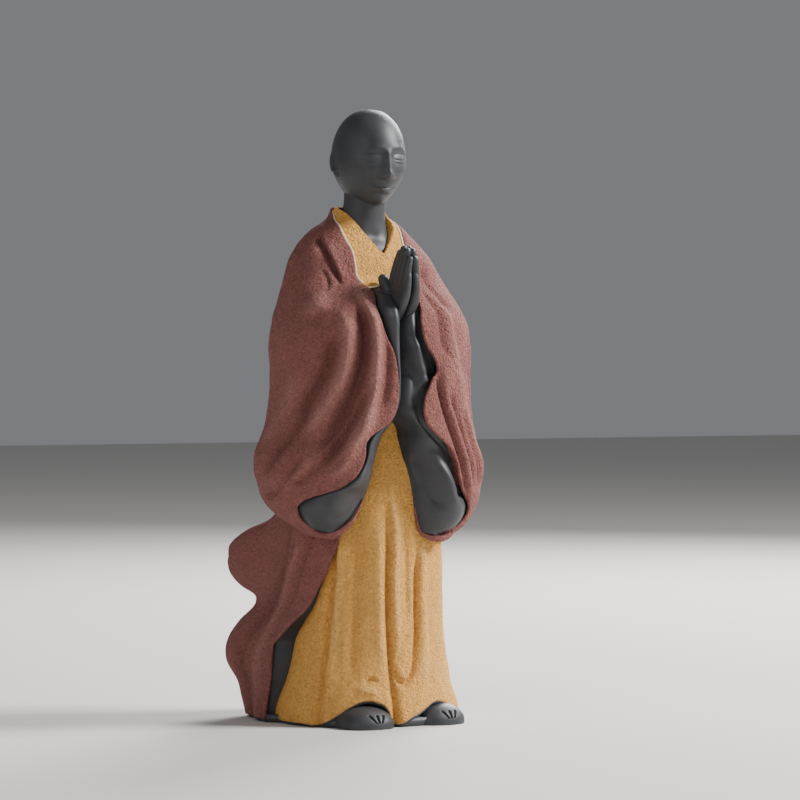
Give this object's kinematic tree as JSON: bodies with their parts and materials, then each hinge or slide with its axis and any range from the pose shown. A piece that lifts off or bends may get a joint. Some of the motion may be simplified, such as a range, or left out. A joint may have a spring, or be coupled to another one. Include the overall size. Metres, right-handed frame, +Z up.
{
  "type": "standing monk figurine",
  "caption": "Small cast clay figurine of a standing young monk with hands pressed together, wide hanging sleeves, a flared skirt and a robe train blown out behind.",
  "frame": {"origin": "centre of the box on the flat underside", "axes": "+Z up to the crown of the head, the figure faces -Y and its right hand is towards -X"},
  "size_m": [0.07, 0.0678, 0.18],
  "materials": {
    "dark_clay": "dark unglazed clay, smooth and satin matte",
    "maroon_sand": "dull maroon slip with a fine sandy grain",
    "ochre_sand": "warm ochre slip with a fine sandy grain",
    "pale_line": "thin pale brushed edge line"
  },
  "bodies": {
    "root": {"monk_statue": "dark_clay"}
  },
  "joints": []
}
